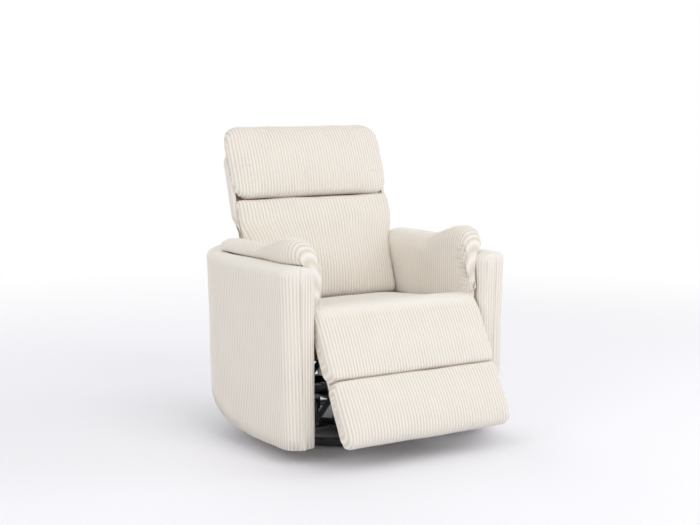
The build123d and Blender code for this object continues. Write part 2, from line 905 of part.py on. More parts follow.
def make_rocker_springs():
    """Four coil springs between the swivel plate and the rocker plate."""
    bottom = upper_plate_top + cup_flange_thickness + spring_wire_radius + soft_clearance
    top = rocker_plate_bottom - cup_flange_thickness - spring_wire_radius - soft_clearance
    path = helix_arcs(spring_radius, bottom, top, spring_turns)
    section = Plane(origin=path @ 0, z_dir=path % 0) * Circle(spring_wire_radius)
    coil = sweep(section, path=path.wire()).solid()
    pitch = (top - bottom) / spring_turns
    print("rocker spring gap between turns", round(pitch - 2 * spring_wire_radius, 2))
    return Compound(children=[Pos(x, y, 0) * coil for x, y in spring_places()])


def race(bottom, top):
    """Flat ring that the bearing's balls run on."""
    outer = ball_circle_radius + race_width / 2
    inner = ball_circle_radius - race_width / 2
    return Pos(0, 0, bottom) * extrude(Circle(outer) - Circle(inner), top - bottom)


def make_swivel_upper_plate():
    """Turning plate with its race below and the rocking axle's ears above."""
    plate = Pos(0, 0, upper_plate_bottom) * extrude(Circle(swivel_plate_radius), swivel_plate_thickness)
    plate += race(upper_race_bottom, upper_plate_bottom)
    height = rock_axis_z - upper_plate_top
    outline = Pos(0, rock_axis_z) * Circle(lug_radius)
    outline += Pos(0, upper_plate_top + height / 2) * Rectangle(lug_radius * 2, height)
    outline -= Pos(0, rock_axis_z) * Circle(axle_radius + running_clearance)
    inner = lug_inner + lug_thickness + lug_spacing
    for side in SIDES.values():
        plate += slab(outline, inner, lug_thickness, side)
    return plate - extrude(Circle(king_pin_radius + running_clearance), rock_axis_z)


def make_swivel_lower_plate():
    """Fixed plate with its race on top."""
    plate = Pos(0, 0, lower_plate_bottom) * extrude(Circle(swivel_plate_radius), swivel_plate_thickness)
    plate += race(lower_plate_top, lower_race_top)
    return plate - extrude(Circle(king_pin_radius + running_clearance), rock_axis_z)


def make_bearing_balls():
    balls = []
    for index in range(ball_count):
        angle = 360 * index / ball_count
        balls.append(Rot(0, 0, angle) * Pos(ball_circle_radius, 0, ball_height) * Sphere(ball_radius))
    return Compound(children=[ball.solid() for ball in balls])


def make_king_pin():
    """Centre pin that holds the two swivel plates together."""
    head_bottom = upper_plate_top + soft_clearance
    shank = Pos(0, 0, spider_top) * extrude(Circle(king_pin_radius), head_bottom - spider_top)
    head = Pos(0, 0, head_bottom) * extrude(Circle(king_pin_head_radius), king_pin_head_thickness)
    return shank + head


def make_base_ring():
    """Steel tube ring that the chair stands on through its pads."""
    middle = ring_radius - ring_width / 2
    section = RectangleRounded(ring_width, ring_height, ring_corner)
    section = Pos(middle, ring_bottom + ring_height / 2) * section
    return revolve(Plane.XZ * section, axis=Axis.Z)


def make_spider():
    """Two crossed bars that carry the swivel inside the ring."""
    reach = ring_radius - ring_width - soft_clearance
    z_range = (spider_top - spider_height, spider_top)
    half = spider_width / 2
    along = block((-reach, reach), (-half, half), z_range)
    across = block((-half, half), (-reach, reach), z_range)
    cross = along + across
    return cross & extrude(Circle(reach), spider_top)


def make_floor_pads():
    pads = []
    for index in range(pad_count):
        angle = 360 * (index + 0.5) / pad_count
        middle = ring_radius - ring_width / 2
        pads.append((Rot(0, 0, angle) * Pos(middle, 0, 0) * extrude(Circle(pad_radius), pad_height)).solid())
    return Compound(children=pads)


def bolt_group(places, height):
    """Hexagon bolt heads along Z, seated at one height."""
    return Compound(children=[(Pos(x, y, 0) * hexagon_bolt(height)).solid() for x, y in places])


def base_bolt_places():
    places = []
    for index in range(bolt_count):
        angle = math.radians(360 * index / bolt_count)
        places.append((bolt_circle_radius * math.cos(angle), bolt_circle_radius * math.sin(angle)))
    return places


def frame_bolt_places():
    """Bolts that hold the cross tubes down on the rocker plate."""
    x = rocker_plate_half_width - tube_side
    return [(side * x, y) for side in SIDES.values() for y in (front_tube_y, rear_tube_y)]


pieces = {
    "base_ring": make_base_ring(),
    "base_spider": make_spider(),
    "floor_pads": make_floor_pads(),
    "swivel_lower_plate": make_swivel_lower_plate(),
    "bearing_balls": make_bearing_balls(),
    "king_pin": make_king_pin(),
    "base_bolts": bolt_group(base_bolt_places(), lower_plate_top),
    "swivel_upper_plate": make_swivel_upper_plate(),
    "spring_cups_lower": make_spring_cups(upper_plate_top, 1),
    "spring_cups_upper": make_spring_cups(rocker_plate_bottom, -1),
    "rocker_springs": make_rocker_springs(),
    "rocker_plate": make_rocker_plate(),
    "rocker_axle": make_axle(),
    "front_cross_tube": make_cross_tube(front_tube_y),
    "rear_cross_tube": make_cross_tube(rear_tube_y),
    "shell_brackets": make_shell_brackets(),
    "frame_bolts": bolt_group(frame_bolt_places(), tube_top),
    "outer_shell": make_shell(),
    "seat_front_rail": make_front_rail(),
    "seat_rear_rail": make_rear_rail(),
    "seat_springs": make_zigzag_springs(),
    "seat_cushion": make_seat_cushion(),
    "seat_glides": make_glides(),
    "arm_pivot_pins": pin_group([rear_arm_pivot], plate_inner, two_layer_grip(), False),
    "back_pivot_pins": pin_group([back_pivot], plate_inner, two_layer_grip(), False),
    "torque_tube": make_torque_tube(),
    "front_arm_pins": pin_group([upper_link_middle, lower_link_rear], arm_inner, two_layer_grip(), True),
    "rear_arm_pins": pin_group([upper_link_rear], arm_inner, two_layer_grip(), True),
    "footrest_pins": pin_group([upper_link_front, lower_link_front], link_inner, two_layer_grip(), True),
    "footrest_board": make_footrest_board(),
    "footrest_brackets": make_footrest_brackets(),
    "footrest_upper_pad": make_upper_pad(),
    "footrest_lower_pad": make_lower_pad(),
    "back_panel": make_back_panel(),
    "back_bottom_rail": make_back_rail(back_panel_start, back_bottom_rail_height),
    "back_top_rail": make_back_rail(
        back_panel_height - back_panel_corner - back_top_rail_height, back_top_rail_height
    ),
    "lumbar_cushion": back_cushion(
        lumbar_start, headrest_seam - soft_clearance, back_low_half_width, lumbar_crown, 0
    ),
    "headrest_cushion": back_cushion(
        headrest_seam, headrest_top, back_high_half_width, headrest_crown, headrest_top_crown
    ),
}
for name, side in SIDES.items():
    pieces[f"slide_rail_{name}"] = make_slide_rail(side)
    pieces[f"seat_rail_{name}"] = make_seat_rail(side)
    pieces[f"mechanism_plate_{name}"] = make_mechanism_plate(side)
    pieces[f"front_arm_{name}"] = make_front_arm(side)
    pieces[f"rear_arm_{name}"] = make_rear_arm(side)
    pieces[f"upper_link_{name}"] = make_upper_link(side)
    pieces[f"lower_link_{name}"] = make_lower_link(side)
    pieces[f"back_post_{name}"] = make_back_post(side)
    pieces[f"back_bracket_{name}"] = make_back_bracket(side)
    pieces[f"arm_pad_{name}"] = make_arm_pad(side)

os.makedirs("parts", exist_ok=True)
for name, piece in pieces.items():
    export_step(piece, f"parts/{name}.step")

for label, place in (
    ("knuckle", knuckle),
    ("back pivot", back_pivot),
    ("front arm pivot", front_arm_pivot),
    ("rear arm pivot", rear_arm_pivot),
    ("upper link on front arm", upper_link_middle),
    ("lower link on front arm", lower_link_rear),
):
    print(label, [round(value, 3) for value in place])
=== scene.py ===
import json
import math
import bmesh
import bpy
import numpy as np
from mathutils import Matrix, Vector


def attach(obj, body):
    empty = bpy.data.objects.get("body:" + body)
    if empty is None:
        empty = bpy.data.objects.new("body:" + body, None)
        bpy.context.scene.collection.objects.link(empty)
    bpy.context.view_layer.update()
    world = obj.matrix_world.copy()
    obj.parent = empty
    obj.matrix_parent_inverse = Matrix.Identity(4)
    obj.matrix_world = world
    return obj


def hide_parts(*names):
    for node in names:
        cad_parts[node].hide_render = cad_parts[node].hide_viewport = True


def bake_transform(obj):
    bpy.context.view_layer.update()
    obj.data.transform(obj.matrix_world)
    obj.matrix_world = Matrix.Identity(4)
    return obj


bl_info = {
    "name": "Corduroy swivel recliner",
    "version": (1, 0, 0),
    "blender": (4, 5, 0),
    "location": "View3D > Sidebar > Recliner",
    "description": "Dresses the recliner's frame in padded corduroy, enamelled steel and plywood",
    "category": "Object",
}

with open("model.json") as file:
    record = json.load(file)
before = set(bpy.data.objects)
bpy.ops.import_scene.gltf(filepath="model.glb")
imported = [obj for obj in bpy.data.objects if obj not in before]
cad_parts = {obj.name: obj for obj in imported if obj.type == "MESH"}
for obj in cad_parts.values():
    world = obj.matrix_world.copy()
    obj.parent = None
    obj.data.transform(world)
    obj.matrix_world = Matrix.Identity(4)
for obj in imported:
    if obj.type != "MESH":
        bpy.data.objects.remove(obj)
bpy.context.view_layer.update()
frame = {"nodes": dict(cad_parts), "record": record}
MM = 0.001
# Places in the chair's side view are (y, z) in millimetres.
LEAN = math.radians(17)  # the back's, off upright, as posed
OPEN = math.radians(28)  # the footrest's, off hanging, as posed
BACK_PIVOT = (100.0, 414.0)
KNUCKLE = (-338.0, 455.0)
# The shell's plan: straight sides that run into a half circle behind.
SHELL_REACH, SHELL_INNER = 440.0, 360.0
SHELL_FRONT, SHELL_CENTRE = -374.0, 46.0
SHELL_NOSE = 382.0
RIM_TOP = 625.0
# The arm pads, from front to rear: y, top and outer reach at each station.
PAD_STATIONS = (
    (-350, 530, 330), (-345, 582, 333), (-337, 634, 342), (-326, 666, 354), (-309, 688, 366), (-288, 702, 376),
    (-260, 708, 384), (-228, 706, 386), (-186, 696, 384), (-148, 683, 382), (-108, 669, 378), (-75, 663, 377),
    (-25, 666, 382), (35, 669, 385), (80, 670, 387), (118, 670, 387), (145, 668, 386), (162, 664, 383),
    (172, 658, 380), (180, 650, 376))
PAD_MIDDLE, PAD_STRAIGHT, PAD_END = -85.0, 245.0, 20.0  # past the straight part they draw in towards their ends
PAD_REST = 627.0  # where they lie on the rim
FILLING_FRAMES = 16  # frames of cloth that fill a cover
# The photo's camera, solved from its perspective: focal length in pixels of its own width.
PHOTO_WIDTH, PHOTO_FOCAL = 700, 1372.04
CAMERA_PLACE, CAMERA_AIM = (-2.5097, -3.9841, 1.1701), (0.53445, 0.83592, -0.12488)
# Name, place, size, power and tint of each area light.
LIGHTS = (("key", (0.2, -3.9, 3.0), 2.4, 47, (1, 0.98, 0.95)),
          ("left", (-3.4, -1.2, 2.2), 2.2, 22, (1, 0.97, 0.93)),
          ("side", (3.2, -1.6, 2.4), 2.0, 28, (0.95, 0.97, 1)),
          ("rear", (0.6, 3.2, 3.0), 2.4, 26, (0.97, 0.98, 1)))


def linear(text):
    """Linear RGBA of an sRGB hex value."""
    parts = [int(text[i:i + 2], 16) / 255 for i in (0, 2, 4)]
    return tuple(c / 12.92 if c <= 0.04045 else ((c + 0.055) / 1.055) ** 2.4 for c in parts) + (1.0,)


def add(tree, kind, settings=None, values=None, links=None):
    """Adds a node with its settings, its sockets' values and its links from other nodes' outputs."""
    node = tree.nodes.new(kind)
    for key, value in (settings or {}).items():
        setattr(node, key, value)
    for key, value in (values or {}).items():
        node.inputs[key].default_value = value
    for key, source in (links or {}).items():
        tree.links.new(source, node.inputs[key])
    return node


def shader_of(name, low, high, grain_mm, stretch, depth_mm, fixed):
    """Material with a grain between two colours and a matching bump, on Object coordinates."""
    made = bpy.data.materials.new(name)
    made.use_nodes = True
    tree = made.node_tree
    shader = tree.nodes["Principled BSDF"]
    for key, value in fixed.items():
        shader.inputs[key].default_value = value
    place = add(tree, "ShaderNodeTexCoord").outputs["Object"]
    drawn = add(tree, "ShaderNodeMapping", None, {"Scale": stretch}, {"Vector": place}).outputs[0]
    grain = add(tree, "ShaderNodeTexNoise", None, {"Scale": 1000 / grain_mm, "Detail": 5.0, "Roughness": 0.6},
                {"Vector": drawn})
    mix = add(tree, "ShaderNodeMix", {"data_type": "RGBA"}, {6: linear(low), 7: linear(high)},
              {"Factor": grain.outputs["Fac"]})
    bump = add(tree, "ShaderNodeBump", None, {"Distance": depth_mm * MM, "Strength": 0.6},
               {"Height": grain.outputs["Fac"]})
    tree.links.new(mix.outputs[2], shader.inputs["Base Color"])
    tree.links.new(bump.outputs[0], shader.inputs["Normal"])
    return made, tree, shader, mix, grain


def corduroy_cloth(settings):
    """Cotton corduroy: brushed pile in round wales, matt with a soft sheen, with painted shade in the furrows."""
    made, tree, shader, mix, grain = shader_of(
        "cotton_corduroy", settings.pile_low, settings.pile_high, 1.6, (1.0, 1.0, 1.0), 0.35,
        {"Roughness": 0.92, "Sheen Weight": 0.12, "Sheen Roughness": 0.5, "IOR": 1.45, "Specular IOR Level": 0.15})
    wale = add(tree, "ShaderNodeAttribute", {"attribute_name": "wale"}).outputs["Fac"]
    # Painted shade: the stored wale profile mixes the furrows between the wales toward a darker colour.
    painted_furrow_shade = add(tree, "ShaderNodeMix", {"data_type": "RGBA"}, {6: linear(settings.painted_furrow_shade)},
                 {"Factor": wale, 7: mix.outputs[2]})
    place = add(tree, "ShaderNodeTexCoord").outputs["Object"]
    cloud = add(tree, "ShaderNodeTexNoise", None, {"Scale": 9.0, "Detail": 3.0}, {"Vector": place})
    patch = add(tree, "ShaderNodeMapRange", None, {"From Min": 0.35, "From Max": 0.65, "To Min": 0.0, "To Max": 0.3},
                {"Value": cloud.outputs["Fac"]})
    worn = add(tree, "ShaderNodeMix", {"data_type": "RGBA"}, {7: linear(settings.worn)},
               {"Factor": patch.outputs[0], 6: painted_furrow_shade.outputs[2]})
    tree.links.new(worn.outputs[2], shader.inputs["Base Color"])
    return made


def curve_points(corners, radii, step):
    """Closed outline through corners with rounded ones, as evenly spaced points."""
    dense, count = [], len(corners)
    for i in range(count):
        before, here, after = (np.array(corners[(i + k) % count], float) for k in (-1, 0, 1))
        a, b = (before - here), (after - here)
        a, b = a / np.linalg.norm(a), b / np.linalg.norm(b)
        half = math.acos(max(-1, min(1, float(a @ b)))) / 2
        reach = radii[i] / max(math.tan(half), 0.05)
        middle = here + (a + b) / max(np.linalg.norm(a + b), 1e-6) * radii[i] / math.sin(half)
        start, end = here + a * reach, here + b * reach
        for t in np.linspace(0, 1, 9):
            p = start * (1 - t) + end * t - middle
            dense.append(middle + p / max(np.linalg.norm(p), 1e-6) * radii[i])
    dense.append(dense[0])
    dense = np.array(dense)
    run = np.concatenate(([0], np.cumsum(np.linalg.norm(np.diff(dense, axis=0), axis=1))))
    number = max(24, int(round(run[-1] / step)))
    at = np.linspace(0, run[-1], number, endpoint=False)
    return np.stack([np.interp(at, run, dense[:, k]) for k in (0, 1)], 1)


def faces_of(count, size):
    """Quads between loops of points that follow each other, and a face at both ends."""
    faces = [(i * size + j, i * size + (j + 1) % size, (i + 1) * size + (j + 1) % size, (i + 1) * size + j)
             for i in range(count - 1) for j in range(size)]
    return faces + [tuple(range(size))[::-1], tuple((count - 1) * size + j for j in range(size))]


def skin(rows):
    """Closed mesh through loops, one to a wale: at both ends it goes on in rings that shrink to a small face."""
    rows, places = list(rows), [float(i) for i in range(len(rows))]
    for end, step in ((0, -1), (-1, 1)):
        loop, middle = rows[end], rows[end].mean(0)
        for k, share in enumerate((0.72, 0.4, 0.12), 1):
            at = 0 if end == 0 else len(rows)
            place = places[end] + step * k * 0.9
            rows.insert(at, middle + (loop - middle) * share)
            places.insert(at, place)
    size = len(rows[0])
    return np.concatenate(rows), faces_of(len(rows), size), np.repeat(places, size)


def mesh_of(name, points, faces, place):
    """Object in metres with outward faces, and each point's count of wales stored on it."""
    data = bpy.data.meshes.new(name)
    data.from_pydata((np.asarray(points) * MM).tolist(), [], faces)
    data.attributes.new("place", "FLOAT", "POINT").data.foreach_set("value", np.asarray(place, np.float32))
    work = bmesh.new()
    work.from_mesh(data)
    bmesh.ops.recalc_face_normals(work, faces=work.faces)
    if work.calc_volume(signed=True) < 0:
        bmesh.ops.reverse_faces(work, faces=work.faces)
    work.to_mesh(data)
    work.free()
    piece = bpy.data.objects.new(name, data)
    bpy.context.scene.collection.objects.link(piece)
    return piece


def positions(piece, kind="co"):
    """The points' places or normals as rows of three."""
    values = np.zeros(len(piece.data.vertices) * 3, np.float32)
    piece.data.vertices.foreach_get(kind, values)
    return values.reshape(-1, 3).astype(float)


def bake(piece):
    """Takes the evaluated mesh as the piece's own and drops its modifiers."""
    data = bpy.data.meshes.new_from_object(piece.evaluated_get(bpy.context.evaluated_depsgraph_get()))
    piece.modifiers.clear()
    piece.data = data


def inflate(piece, held, pressure, cap_mm):
    """Fills the cover as stuffing does: cloth under pressure, its held points fixed, its travel capped."""
    start = positions(piece)
    group = piece.vertex_groups.new(name="held")
    group.add([int(i) for i in np.nonzero(held)[0]], 1.0, "REPLACE")
    cloth = piece.modifiers.new("filling", "CLOTH")
    cloth.settings.use_pressure = True
    cloth.settings.uniform_pressure_force = pressure
    cloth.settings.vertex_group_mass = "held"
    cloth.settings.effector_weights.gravity = 0
    cloth.settings.quality = 4
    cloth.settings.tension_stiffness = 12
    cloth.settings.bending_stiffness = 2
    cloth.collision_settings.use_collision = False
    cloth.point_cache.frame_start, cloth.point_cache.frame_end = 1, FILLING_FRAMES
    scene = bpy.context.scene
    for number in range(1, FILLING_FRAMES + 1):
        scene.frame_set(number)
    bake(piece)
    scene.frame_set(1)
    piece.vertex_groups.clear()
    travel = positions(piece) - start
    length = np.linalg.norm(travel, axis=1, keepdims=True)
    travel *= np.minimum(1, cap_mm * MM / np.maximum(length, 1e-9))
    piece.data.vertices.foreach_set("co", (start + travel).astype(np.float32).ravel())
    piece.data.update()


def rib(piece, settings, levels=2, creases=(), smooth=None, soft=1.0):
    """Subdivides the cover, presses its creases in and raises its wales."""
    if levels:
        sub = piece.modifiers.new("rounding", "SUBSURF")
        sub.levels = sub.render_levels = levels
        bake(piece)
    points = positions(piece) / MM
    normals = positions(piece, "normal")
    points += normals * (soft * unevenness(points))[:, None]
    for start, end, width, depth in creases:
        start, end = np.array(start, float), np.array(end, float)
        run = end - start
        t = np.clip(((points - start) @ run) / (run @ run), 0, 1)
        away = np.linalg.norm(points - (start + t[:, None] * run), axis=1) / width
        fade = np.sin(np.pi * np.clip(t * 0.9 + 0.1, 0, 1)) ** 0.5
        points -= normals * (depth * fade * (np.exp(-away ** 2) - 0.35 * np.exp(-(away - 1.7) ** 2)))[:, None]
    place = np.zeros(len(points), np.float32)
    piece.data.attributes["place"].data.foreach_get("value", place)
    wale = 0.5 + 0.5 * np.cos(2 * np.pi * place)
    if smooth is not None:
        wale = wale * smooth(points) + 0.8 * (1 - smooth(points))
    points += normals * ((wale - 0.6) * settings.wale_depth)[:, None]
    piece.data.vertices.foreach_set("co", (points * MM).astype(np.float32).ravel())
    # The stored wale profile also sets where the cloth's painted shade falls in the furrows.
    piece.data.attributes.new("wale", "FLOAT", "POINT").data.foreach_set("value", wale.astype(np.float32))
    piece.data.shade_smooth()
    piece.data.update()


def unevenness(p):
    """Slow swells of hand-filled padding, in millimetres."""
    return (0.9 * np.sin(p[:, 0] / 61 + p[:, 2] / 83) + 0.8 * np.sin(p[:, 1] / 47 - p[:, 2] / 59 + 1.3)
            + 0.6 * np.sin(p[:, 0] / 29 + p[:, 1] / 37 + p[:, 2] / 31))


def back_place(a, b):
    """Side view's place, a up the leaning back from its pivot and b ahead of it."""
    return (BACK_PIVOT[0] + a * math.sin(LEAN) - b * math.cos(LEAN),
            BACK_PIVOT[1] + a * math.cos(LEAN) + b * math.sin(LEAN))


def back_reach(points):
    """The other way round: how far points lie up the back and ahead of it."""
    y, z = points[:, 1] - BACK_PIVOT[0], points[:, 2] - BACK_PIVOT[1]
    return y * math.sin(LEAN) + z * math.cos(LEAN), y * -math.cos(LEAN) + z * math.sin(LEAN)


def footrest_place(a, b):
    """Side view's place, a down the footrest from its knuckle and b ahead of it."""
    return (KNUCKLE[0] - a * math.sin(OPEN) - b * math.cos(OPEN),
            KNUCKLE[1] - a * math.cos(OPEN) + b * math.sin(OPEN))


def footrest_reach(points):
    """The other way round: how far points lie down the footrest and ahead of it."""
    y, z = points[:, 1] - KNUCKLE[0], points[:, 2] - KNUCKLE[1]
    return y * -math.sin(OPEN) - z * math.cos(OPEN), y * -math.cos(OPEN) + z * math.sin(OPEN)


def side_place(a, b):
    """Side view's place as it is given."""
    return (a, b)


def pad(name, settings, half, corners, radii, where, crown, corner, edge, width=None, crown_power=0.75, step=12.0):
    """Cushion cover drawn across the chair: a rounded section, crowned in its middle and drawn in at both sides.

    half is its half width, where turns the section's places into the side view's, corner and edge are the radii of
    its corners seen from ahead and of its edges seen from above, and width scales it at a place of the section.
    """
    outline = curve_points(corners, radii, step)
    low, high = outline.min(0), outline.max(0)
    middle, size = (low + high) / 2, (high - low) / 2
    columns = int(round(2 * half / settings.wale_pitch))
    rows = []
    for x in np.linspace(-half, half, columns + 1):
        past = max(0.0, abs(x) - (half - corner))
        inset = corner - math.sqrt(max(0.0, corner ** 2 - past ** 2))
        past = max(0.0, abs(x) - (half - edge))
        thin = edge - math.sqrt(max(0.0, edge ** 2 - past ** 2))
        body = np.array(outline)
        body[:, 0] = middle[0] + (body[:, 0] - middle[0]) * (1 - inset / size[0])
        body[:, 1] = middle[1] + (body[:, 1] - middle[1]) * (1 - min(0.7, thin / size[1]))
        level = np.clip((outline[:, 1] - low[1]) / (high[1] - low[1]), 0, 1)
        arch = np.sin(np.pi * np.clip((outline[:, 0] - low[0]) / (high[0] - low[0]), 0, 1)) ** crown_power
        across = 1 - abs(x / half) ** 3.2
        body[:, 1] += crown * level ** 2 * arch * across
        rows.append(np.array([(x * (width(a) if width else 1.0), *where(a, b)) for a, b in body]))
    return mesh_of(name, *skin(rows))


def dress(piece, body, nodes, other=None):
    """Gives a cover its cloth, joins it to its body unless other is given, when it only bakes its place in, and hides
    the solids it stands for.
    """
    piece.data.materials.clear()
    piece.data.materials.append(bpy.data.materials["cotton_corduroy"])
    if other:
        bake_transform(piece)
    else:
        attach(piece, body)
    if nodes:
        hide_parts(*nodes)


def resample(points, count):
    """Evenly spaced points along a line, and the line's length."""
    run = np.concatenate(([0], np.cumsum(np.linalg.norm(np.diff(points, axis=0), axis=1))))
    at = np.linspace(0, run[-1], count)
    return np.stack([np.interp(at, run, points[:, k]) for k in range(points.shape[1])], 1), run[-1]


def shell_cover(settings):
    """Barrel shell: an outer and an inner plan line joined at the noses, with a rolled rim."""
    def corner(radius, count):
        return [(radius * math.sin(t), radius * (1 - math.cos(t))) for t in np.linspace(0, math.pi / 2, count)]

    def plan(side, radius, start):
        turn = np.linspace(start, math.pi - start, 200)
        rear = [(radius * math.cos(t), SHELL_CENTRE + radius * math.sin(t)) for t in turn]
        side = [(SHELL_NOSE, SHELL_FRONT)] + side
        return np.array(side + rear + [(-x, y) for x, y in side[::-1]])

    nose, small, inner_front, tangent = 46.0, 26.0, 323.0, (358.5, 13.0)
    outer = plan([(SHELL_REACH - nose + x, SHELL_FRONT + y) for x, y in corner(nose, 12)]
                 + [(SHELL_REACH, SHELL_CENTRE)], SHELL_REACH, 0.01)
    inner = plan([(inner_front + small - x, SHELL_FRONT + y) for x, y in corner(small, 10)] + [tangent],
                 SHELL_INNER, math.atan2(tangent[1] - SHELL_CENTRE, tangent[0]))
    _, length = resample(outer, 10)
    wales = int(round(length / settings.wale_pitch))
    count = wales * 4 + 1
    outer, _ = resample(outer, count)
    inner, _ = resample(inner, count)
    foot_low, foot_run, foot_rise, foot_start = 50, 460.0, 149.0, -144
    foot_radius = (foot_run ** 2 + foot_rise ** 2) / (2 * foot_rise)
    foot_end, last_rise, last_run = 316, 12, 190

    def foot(y):
        run = np.clip(y - foot_start, 0, foot_run)
        rise = foot_radius - math.sqrt(foot_radius ** 2 - run ** 2)
        return foot_low + rise + (last_rise * (y - foot_end) / last_run if y > foot_end else 0)

    levels = [("out", v) for v in np.linspace(0, 1, 13)] + [("top", t) for t in np.linspace(0.06, 0.94, 15)]
    levels += [("in", v) for v in np.linspace(1, 0, 9)] + [("low", t) for t in (0.8, 0.5, 0.2)]
    taper = 15
    points = np.zeros((count, len(levels), 3))
    for i in range(count):
        o, n = outer[i], inner[i]
        gap = np.linalg.norm(o - n)
        roll = min(34.0, 6 + gap * 0.4)
        low = foot(max(o[1], SHELL_FRONT))
        outward = (o - n) / max(gap, 1e-6) if gap > 4 else np.array((0.0, -1.0))
        for j, (part, t) in enumerate(levels):
            if part == "out":
                z = low + (RIM_TOP - roll - low) * t
                inwards = taper * (RIM_TOP - z) / (RIM_TOP - foot_low)
                p = o - (outward * inwards if gap > 4 else np.array((0.0, -inwards * 0.7)))
            elif part == "top":
                w = (1 - math.cos(math.pi * t)) / 2
                p = o + (n - o) * w
                z = RIM_TOP - roll + roll * (1 - abs(2 * w - 1) ** 2.6) ** (1 / 2.6)
            elif part == "in":
                z = low + (RIM_TOP - roll - low) * t
                p = n
            else:
                p = (o - outward * taper if gap > 34 else n) * t + n * (1 - t)
                z = low - 3 * math.sin(math.pi * t)
            points[i, j] = (p[0], p[1], z)
    place = np.repeat(np.arange(count) / 4.0, len(levels))
    return mesh_of("shell_cover", points.reshape(-1, 3), faces_of(count, len(levels)), place)


def arm_pad_cover(side, settings):
    """Two-lobed pillow: its stem stands inside the shell, its cap laps over the rim and droops at the front."""
    ys, tops, reaches = np.array(PAD_STATIONS, float).T
    columns = int(round((ys[-1] - ys[0]) / settings.wale_pitch))
    rest = PAD_REST
    rows = []
    for y in np.linspace(ys[0], ys[-1], columns + 1):
        top, reach = np.interp(y, ys, tops), np.interp(y, ys, reaches)
        over = max(top - rest, 0.0)
        wide = reach if over > 14 else 324.0
        past = abs(y - PAD_MIDDLE) - PAD_STRAIGHT
        end = 1.0 if past < 0 else 1 - 0.4 * (past / PAD_END) ** 2
        cap = min(top - 6, rest + over * 0.5)
        ridge = 318 + (wide - 324) * 0.28
        control = [(290.6, 452), (300, 440), (316, 440), (322, 456), (322, 550), (322, min(606, top - 26)),
                   (min(332, wide - 1), min(rest, top - 12)), ((wide + 322) / 2, min(rest, top - 8)),
                   (wide - 4, min(rest + 2, top - 6)), (wide, cap), ((wide * 0.72 + ridge * 0.28), top - over * 0.1),
                   (ridge, top), (304, top - 9), (290, top - 36), (284, (top + 520) / 2 + 18), (288, 540)]
        control = np.array(control)
        closed = np.concatenate([control[-1:], control, control[:2]])
        loop = []
        for k in range(len(control)):
            p = closed[k:k + 4]
            for t in np.linspace(0, 1, 6, endpoint=False):
                loop.append(0.5 * (2 * p[1] + (p[2] - p[0]) * t + (2 * p[0] - 5 * p[1] + 4 * p[2] - p[3]) * t ** 2
                                   + (3 * p[1] - p[0] - 3 * p[2] + p[3]) * t ** 3))
        loop = np.array(loop)  # a Catmull-Rom curve through the control points
        loop, _ = resample(np.concatenate([loop, loop[:1]]), 65)
        loop = loop[:-1]
        loop = loop.mean(0) + (loop - loop.mean(0)) * end
        rows.append(np.array([(side * x, y, z) for x, z in loop]))
    return mesh_of("arm_pad_cover_" + ("left" if side > 0 else "right"), *skin(rows))


def stitch_tree():
    """Stitches along a line: a short rounded bar at each step, turned along the line."""
    tree = bpy.data.node_groups.new("Seam stitches", "GeometryNodeTree")
    tree.interface.new_socket("Geometry", in_out="OUTPUT", socket_type="NodeSocketGeometry")
    tree.interface.new_socket("Line", in_out="INPUT", socket_type="NodeSocketGeometry")
    for label, value in (("Spacing", 0.0065), ("Length", 0.0042), ("Radius", 0.0009)):
        tree.interface.new_socket(label, in_out="INPUT", socket_type="NodeSocketFloat").default_value = value
    tree.interface.new_socket("Thread", in_out="INPUT", socket_type="NodeSocketMaterial")
    given = add(tree, "NodeGroupInput").outputs
    line = add(tree, "GeometryNodeMeshToCurve", None, None, {"Mesh": given["Line"]})
    even = add(tree, "GeometryNodeResampleCurve", {"mode": "LENGTH"}, None,
               {"Curve": line.outputs[0], "Length": given["Spacing"]})
    tangent = add(tree, "GeometryNodeInputTangent")
    turn = add(tree, "FunctionNodeAlignRotationToVector", {"axis": "Z"}, None, {"Vector": tangent.outputs[0]})
    bar = add(tree, "GeometryNodeMeshCylinder", None, {"Vertices": 6},
              {"Radius": given["Radius"], "Depth": given["Length"]})
    put = add(tree, "GeometryNodeInstanceOnPoints", None, None,
              {"Points": even.outputs[0], "Instance": bar.outputs[0], "Rotation": turn.outputs[0]})
    real = add(tree, "GeometryNodeRealizeInstances", None, None, {"Geometry": put.outputs[0]})
    done = add(tree, "GeometryNodeSetMaterial", None, None, {"Geometry": real.outputs[0], "Material": given["Thread"]})
    add(tree, "NodeGroupOutput", None, None, {"Geometry": done.outputs[0]})
    return tree


def stitches(name, points, body):
    """Row of stitches along points in millimetres, on one body."""
    data = bpy.data.meshes.new(name)
    data.from_pydata([tuple(c * MM for c in p) for p in points], [(i, i + 1) for i in range(len(points) - 1)], [])
    piece = bpy.data.objects.new(name, data)
    bpy.context.scene.collection.objects.link(piece)
    tree = bpy.data.node_groups.get("Seam stitches") or stitch_tree()
    modifier = piece.modifiers.new("stitches", "NODES")
    modifier.node_group = tree
    for item in tree.interface.items_tree:
        if item.item_type == "SOCKET" and item.in_out == "INPUT" and item.name == "Thread":
            modifier[item.identifier] = bpy.data.materials["spun_thread"]
    bake(piece)
    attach(piece, body)


